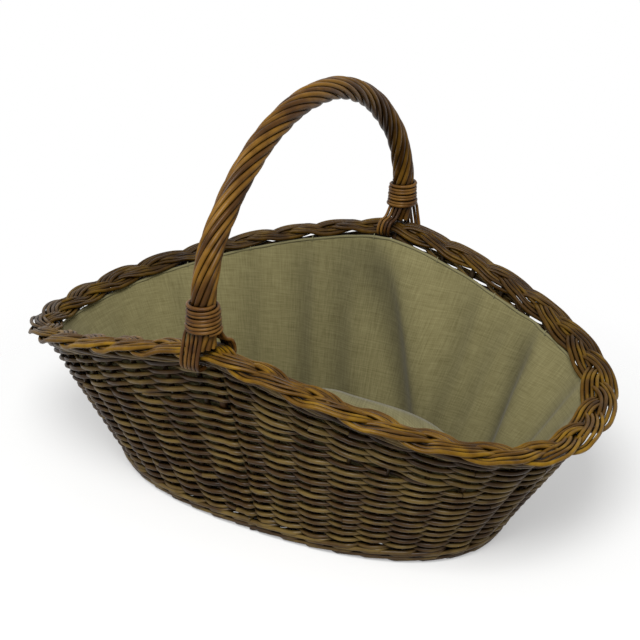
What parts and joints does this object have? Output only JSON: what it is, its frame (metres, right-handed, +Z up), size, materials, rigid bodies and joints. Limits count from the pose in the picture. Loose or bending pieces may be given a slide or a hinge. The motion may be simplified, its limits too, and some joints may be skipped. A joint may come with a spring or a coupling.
{
  "type": "lined willow trug basket",
  "caption": "Oval willow trug with a raised middle rim, plaited border, roped arch handle and a cloth lining; carries garden cuttings, logs or shopping.",
  "frame": {"origin": "on the floor under the middle of the base", "axes": "+Z up, +X along the basket towards its right end in the picture, +Y away from the viewer's side; the handle arches over the basket in the YZ plane"},
  "size_m": [0.5996, 0.4078, 0.415],
  "materials": {
    "willow_weave": "dark olive-brown stained willow, satin",
    "willow_border": "golden brown stained willow, satin varnish",
    "willow_handle": "brown stained willow, satin varnish",
    "willow_binding": "brown stained fine willow, satin varnish",
    "willow_sticks": "stained willow sticks, dull",
    "lining_cloth": "olive khaki plain-weave cotton, matt",
    "sewing_thread": "khaki cotton thread, matt"
  },
  "bodies": {
    "root": {"right_end_stakes": "willow_sticks", "left_end_stakes": "willow_sticks", "near_side_stakes": "willow_sticks", "far_side_stakes": "willow_sticks", "handle_bow": "willow_handle", "handle_rods": "willow_handle", "bottom_wale": "willow_weave", "side_weave": "willow_weave", "top_wale": "willow_weave", "plaited_border": "willow_border", "base_long_sticks": "willow_sticks", "base_cross_sticks": "willow_sticks", "base_weave": "willow_weave", "lining_bottom": "lining_cloth", "lining_sides": "lining_cloth", "lining_hem": "lining_cloth", "lining_stitches": "sewing_thread", "near_binding": "willow_binding", "far_binding": "willow_binding", "near_outer_ties": "willow_binding", "far_outer_ties": "willow_binding", "near_inner_ties": "willow_binding", "far_inner_ties": "willow_binding"}
  },
  "joints": []
}
